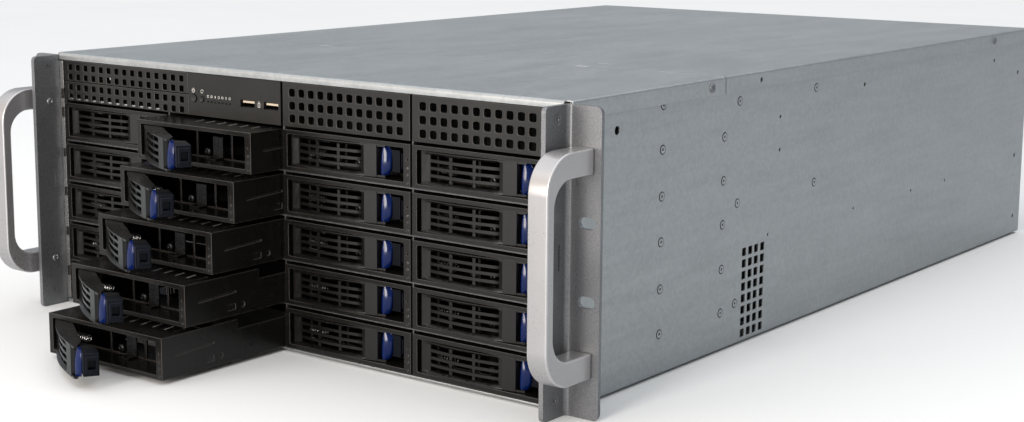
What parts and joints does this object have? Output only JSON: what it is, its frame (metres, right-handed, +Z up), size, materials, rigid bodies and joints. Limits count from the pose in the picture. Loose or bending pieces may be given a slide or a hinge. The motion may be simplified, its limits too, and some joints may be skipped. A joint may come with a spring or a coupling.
{
  "type": "rack-mount storage enclosure",
  "caption": "Rack-mount storage enclosure of folded steel with handled ears, a grid of pull-out hot-swap drive trays with swinging levers, and a sliding rear cover.",
  "frame": {"origin": "centre of the flat underside of the steel base, midway between the rack flanges' front face and the rear edge", "axes": "+Z up, -Y towards the front that carries the trays, +X to the right seen from the front"},
  "size_m": [0.4826, 0.8248, 0.1778],
  "materials": {
    "galvanised_steel": "satin galvanised sheet with a fine grey mottle",
    "ear_steel": "warm satin plated sheet",
    "handle_aluminium": "fine blasted satin",
    "bay_plastic": "fine textured black moulding",
    "cage_steel": "dark satin sheet",
    "circuit_board": "solder-masked laminate",
    "fan_plastic": "moulded black plastic",
    "button_plastic": "polished black plastic",
    "release_blue": "polished blue plastic",
    "latch_grey": "grey-blue moulding",
    "bright_steel": "zinc-plated screws and springs",
    "print_white": "printed marks and socket tongues"
  },
  "bodies": {
    "chassis": {"chassis_base": "galvanised_steel", "front_top_cover": "galvanised_steel", "rear_panel": "galvanised_steel", "left_ear": "ear_steel", "right_ear": "ear_steel", "left_handle": "handle_aluminium", "right_handle": "handle_aluminium", "drive_cage": "cage_steel", "backplane": "circuit_board", "left_grille": "bay_plastic", "centre_grille": "bay_plastic", "right_grille": "bay_plastic", "control_panel": "bay_plastic", "fan_wall": "cage_steel"},
    "rear_cover": {"rear_top_cover": "galvanised_steel"},
    "power_button": {"power_button": "button_plastic"},
    "reset_button": {"reset_button": "button_plastic"},
    "fan_rotor_1": {"fan_rotor_1": "fan_plastic"},
    "fan_rotor_2": {"fan_rotor_2": "fan_plastic"},
    "fan_rotor_3": {"fan_rotor_3": "fan_plastic"},
    "tray_c1_r1": {"tray_c1_r1": "bay_plastic"},
    "lever_c1_r1": {"lever_c1_r1": "bay_plastic"},
    "tray_c1_r2": {"tray_c1_r2": "bay_plastic"},
    "lever_c1_r2": {"lever_c1_r2": "bay_plastic"},
    "tray_c1_r3": {"tray_c1_r3": "bay_plastic"},
    "lever_c1_r3": {"lever_c1_r3": "bay_plastic"},
    "tray_c1_r4": {"tray_c1_r4": "bay_plastic"},
    "lever_c1_r4": {"lever_c1_r4": "bay_plastic"},
    "tray_c1_r5": {"tray_c1_r5": "bay_plastic"},
    "lever_c1_r5": {"lever_c1_r5": "bay_plastic"},
    "tray_c2_r1": {"tray_c2_r1": "bay_plastic"},
    "lever_c2_r1": {"lever_c2_r1": "bay_plastic"},
    "tray_c2_r2": {"tray_c2_r2": "bay_plastic"},
    "lever_c2_r2": {"lever_c2_r2": "bay_plastic"},
    "tray_c2_r3": {"tray_c2_r3": "bay_plastic"},
    "lever_c2_r3": {"lever_c2_r3": "bay_plastic"},
    "tray_c2_r4": {"tray_c2_r4": "bay_plastic"},
    "lever_c2_r4": {"lever_c2_r4": "bay_plastic"},
    "tray_c2_r5": {"tray_c2_r5": "bay_plastic"},
    "lever_c2_r5": {"lever_c2_r5": "bay_plastic"},
    "tray_c3_r1": {"tray_c3_r1": "bay_plastic"},
    "lever_c3_r1": {"lever_c3_r1": "bay_plastic"},
    "tray_c3_r2": {"tray_c3_r2": "bay_plastic"},
    "lever_c3_r2": {"lever_c3_r2": "bay_plastic"},
    "tray_c3_r3": {"tray_c3_r3": "bay_plastic"},
    "lever_c3_r3": {"lever_c3_r3": "bay_plastic"},
    "tray_c3_r4": {"tray_c3_r4": "bay_plastic"},
    "lever_c3_r4": {"lever_c3_r4": "bay_plastic"},
    "tray_c3_r5": {"tray_c3_r5": "bay_plastic"},
    "lever_c3_r5": {"lever_c3_r5": "bay_plastic"},
    "tray_c4_r1": {"tray_c4_r1": "bay_plastic"},
    "lever_c4_r1": {"lever_c4_r1": "bay_plastic"},
    "tray_c4_r2": {"tray_c4_r2": "bay_plastic"},
    "lever_c4_r2": {"lever_c4_r2": "bay_plastic"},
    "tray_c4_r3": {"tray_c4_r3": "bay_plastic"},
    "lever_c4_r3": {"lever_c4_r3": "bay_plastic"},
    "tray_c4_r4": {"tray_c4_r4": "bay_plastic"},
    "lever_c4_r4": {"lever_c4_r4": "bay_plastic"},
    "tray_c4_r5": {"tray_c4_r5": "bay_plastic"},
    "lever_c4_r5": {"lever_c4_r5": "bay_plastic"}
  },
  "joints": [
    {"name": "rear_cover_slide", "type": "slide", "parent": "chassis", "child": "rear_cover", "axis": [0, 1, 0], "range_m": [0, 0.35]},
    {"name": "power_button_press", "type": "slide", "parent": "chassis", "child": "power_button", "axis": [0, 1, 0], "range_m": [0, 0.0007], "stiffness_N_per_m": 250},
    {"name": "reset_button_press", "type": "slide", "parent": "chassis", "child": "reset_button", "axis": [0, 1, 0], "range_m": [0, 0.0007], "stiffness_N_per_m": 250},
    {"name": "fan_rotor_1_spin", "type": "hinge", "parent": "chassis", "child": "fan_rotor_1", "pos_m": [-0.14, -0.0895, 0.0865], "axis": [0, 1, 0], "continuous": true},
    {"name": "fan_rotor_2_spin", "type": "hinge", "parent": "chassis", "child": "fan_rotor_2", "pos_m": [0, -0.0895, 0.0865], "axis": [0, 1, 0], "continuous": true},
    {"name": "fan_rotor_3_spin", "type": "hinge", "parent": "chassis", "child": "fan_rotor_3", "pos_m": [0.14, -0.0895, 0.0865], "axis": [0, 1, 0], "continuous": true},
    {"name": "tray_c1_r1_slide", "type": "slide", "parent": "chassis", "child": "tray_c1_r1", "axis": [0, -1, 0], "range_m": [0, 0.15]},
    {"name": "lever_c1_r1_swing", "type": "hinge", "parent": "tray_c1_r1", "child": "lever_c1_r1", "pos_m": [-0.20317, -0.335, 0.12885], "axis": [0, 0, -1], "range_deg": [0, 45]},
    {"name": "tray_c1_r2_slide", "type": "slide", "parent": "chassis", "child": "tray_c1_r2", "axis": [0, -1, 0], "range_m": [0, 0.15]},
    {"name": "lever_c1_r2_swing", "type": "hinge", "parent": "tray_c1_r2", "child": "lever_c1_r2", "pos_m": [-0.20317, -0.335, 0.10025], "axis": [0, 0, -1], "range_deg": [0, 45]},
    {"name": "tray_c1_r3_slide", "type": "slide", "parent": "chassis", "child": "tray_c1_r3", "axis": [0, -1, 0], "range_m": [0, 0.15]},
    {"name": "lever_c1_r3_swing", "type": "hinge", "parent": "tray_c1_r3", "child": "lever_c1_r3", "pos_m": [-0.20317, -0.335, 0.07165], "axis": [0, 0, -1], "range_deg": [0, 45]},
    {"name": "tray_c1_r4_slide", "type": "slide", "parent": "chassis", "child": "tray_c1_r4", "axis": [0, -1, 0], "range_m": [0, 0.15]},
    {"name": "lever_c1_r4_swing", "type": "hinge", "parent": "tray_c1_r4", "child": "lever_c1_r4", "pos_m": [-0.20317, -0.335, 0.04305], "axis": [0, 0, -1], "range_deg": [0, 45]},
    {"name": "tray_c1_r5_slide", "type": "slide", "parent": "chassis", "child": "tray_c1_r5", "axis": [0, -1, 0], "range_m": [0, 0.15]},
    {"name": "lever_c1_r5_swing", "type": "hinge", "parent": "tray_c1_r5", "child": "lever_c1_r5", "pos_m": [-0.20317, -0.335, 0.01445], "axis": [0, 0, -1], "range_deg": [0, 45]},
    {"name": "tray_c2_r1_slide", "type": "slide", "parent": "chassis", "child": "tray_c2_r1", "axis": [0, -1, 0], "range_m": [-0.0265, 0.1235]},
    {"name": "lever_c2_r1_swing", "type": "hinge", "parent": "tray_c2_r1", "child": "lever_c2_r1", "pos_m": [-0.09732, -0.3615, 0.12885], "axis": [0, 0, -1], "range_deg": [-33, 12]},
    {"name": "tray_c2_r2_slide", "type": "slide", "parent": "chassis", "child": "tray_c2_r2", "axis": [0, -1, 0], "range_m": [-0.0415, 0.1085]},
    {"name": "lever_c2_r2_swing", "type": "hinge", "parent": "tray_c2_r2", "child": "lever_c2_r2", "pos_m": [-0.09732, -0.3765, 0.10025], "axis": [0, 0, -1], "range_deg": [-33, 12]},
    {"name": "tray_c2_r3_slide", "type": "slide", "parent": "chassis", "child": "tray_c2_r3", "axis": [0, -1, 0], "range_m": [-0.0605, 0.0895]},
    {"name": "lever_c2_r3_swing", "type": "hinge", "parent": "tray_c2_r3", "child": "lever_c2_r3", "pos_m": [-0.09732, -0.3955, 0.07165], "axis": [0, 0, -1], "range_deg": [-33, 12]},
    {"name": "tray_c2_r4_slide", "type": "slide", "parent": "chassis", "child": "tray_c2_r4", "axis": [0, -1, 0], "range_m": [-0.083, 0.067]},
    {"name": "lever_c2_r4_swing", "type": "hinge", "parent": "tray_c2_r4", "child": "lever_c2_r4", "pos_m": [-0.09732, -0.418, 0.04305], "axis": [0, 0, -1], "range_deg": [-33, 12]},
    {"name": "tray_c2_r5_slide", "type": "slide", "parent": "chassis", "child": "tray_c2_r5", "axis": [0, -1, 0], "range_m": [-0.102, 0.048]},
    {"name": "lever_c2_r5_swing", "type": "hinge", "parent": "tray_c2_r5", "child": "lever_c2_r5", "pos_m": [-0.09732, -0.437, 0.01445], "axis": [0, 0, -1], "range_deg": [-33, 12]},
    {"name": "tray_c3_r1_slide", "type": "slide", "parent": "chassis", "child": "tray_c3_r1", "axis": [0, -1, 0], "range_m": [0, 0.15]},
    {"name": "lever_c3_r1_swing", "type": "hinge", "parent": "tray_c3_r1", "child": "lever_c3_r1", "pos_m": [0.00852, -0.335, 0.12885], "axis": [0, 0, -1], "range_deg": [0, 45]},
    {"name": "tray_c3_r2_slide", "type": "slide", "parent": "chassis", "child": "tray_c3_r2", "axis": [0, -1, 0], "range_m": [0, 0.15]},
    {"name": "lever_c3_r2_swing", "type": "hinge", "parent": "tray_c3_r2", "child": "lever_c3_r2", "pos_m": [0.00852, -0.335, 0.10025], "axis": [0, 0, -1], "range_deg": [0, 45]},
    {"name": "tray_c3_r3_slide", "type": "slide", "parent": "chassis", "child": "tray_c3_r3", "axis": [0, -1, 0], "range_m": [0, 0.15]},
    {"name": "lever_c3_r3_swing", "type": "hinge", "parent": "tray_c3_r3", "child": "lever_c3_r3", "pos_m": [0.00852, -0.335, 0.07165], "axis": [0, 0, -1], "range_deg": [0, 45]},
    {"name": "tray_c3_r4_slide", "type": "slide", "parent": "chassis", "child": "tray_c3_r4", "axis": [0, -1, 0], "range_m": [0, 0.15]},
    {"name": "lever_c3_r4_swing", "type": "hinge", "parent": "tray_c3_r4", "child": "lever_c3_r4", "pos_m": [0.00852, -0.335, 0.04305], "axis": [0, 0, -1], "range_deg": [0, 45]},
    {"name": "tray_c3_r5_slide", "type": "slide", "parent": "chassis", "child": "tray_c3_r5", "axis": [0, -1, 0], "range_m": [0, 0.15]},
    {"name": "lever_c3_r5_swing", "type": "hinge", "parent": "tray_c3_r5", "child": "lever_c3_r5", "pos_m": [0.00852, -0.335, 0.01445], "axis": [0, 0, -1], "range_deg": [0, 45]},
    {"name": "tray_c4_r1_slide", "type": "slide", "parent": "chassis", "child": "tray_c4_r1", "axis": [0, -1, 0], "range_m": [0, 0.15]},
    {"name": "lever_c4_r1_swing", "type": "hinge", "parent": "tray_c4_r1", "child": "lever_c4_r1", "pos_m": [0.11438, -0.335, 0.12885], "axis": [0, 0, -1], "range_deg": [0, 45]},
    {"name": "tray_c4_r2_slide", "type": "slide", "parent": "chassis", "child": "tray_c4_r2", "axis": [0, -1, 0], "range_m": [0, 0.15]},
    {"name": "lever_c4_r2_swing", "type": "hinge", "parent": "tray_c4_r2", "child": "lever_c4_r2", "pos_m": [0.11438, -0.335, 0.10025], "axis": [0, 0, -1], "range_deg": [0, 45]},
    {"name": "tray_c4_r3_slide", "type": "slide", "parent": "chassis", "child": "tray_c4_r3", "axis": [0, -1, 0], "range_m": [0, 0.15]},
    {"name": "lever_c4_r3_swing", "type": "hinge", "parent": "tray_c4_r3", "child": "lever_c4_r3", "pos_m": [0.11438, -0.335, 0.07165], "axis": [0, 0, -1], "range_deg": [0, 45]},
    {"name": "tray_c4_r4_slide", "type": "slide", "parent": "chassis", "child": "tray_c4_r4", "axis": [0, -1, 0], "range_m": [0, 0.15]},
    {"name": "lever_c4_r4_swing", "type": "hinge", "parent": "tray_c4_r4", "child": "lever_c4_r4", "pos_m": [0.11438, -0.335, 0.04305], "axis": [0, 0, -1], "range_deg": [0, 45]},
    {"name": "tray_c4_r5_slide", "type": "slide", "parent": "chassis", "child": "tray_c4_r5", "axis": [0, -1, 0], "range_m": [0, 0.15]},
    {"name": "lever_c4_r5_swing", "type": "hinge", "parent": "tray_c4_r5", "child": "lever_c4_r5", "pos_m": [0.11438, -0.335, 0.01445], "axis": [0, 0, -1], "range_deg": [0, 45]}
  ]
}
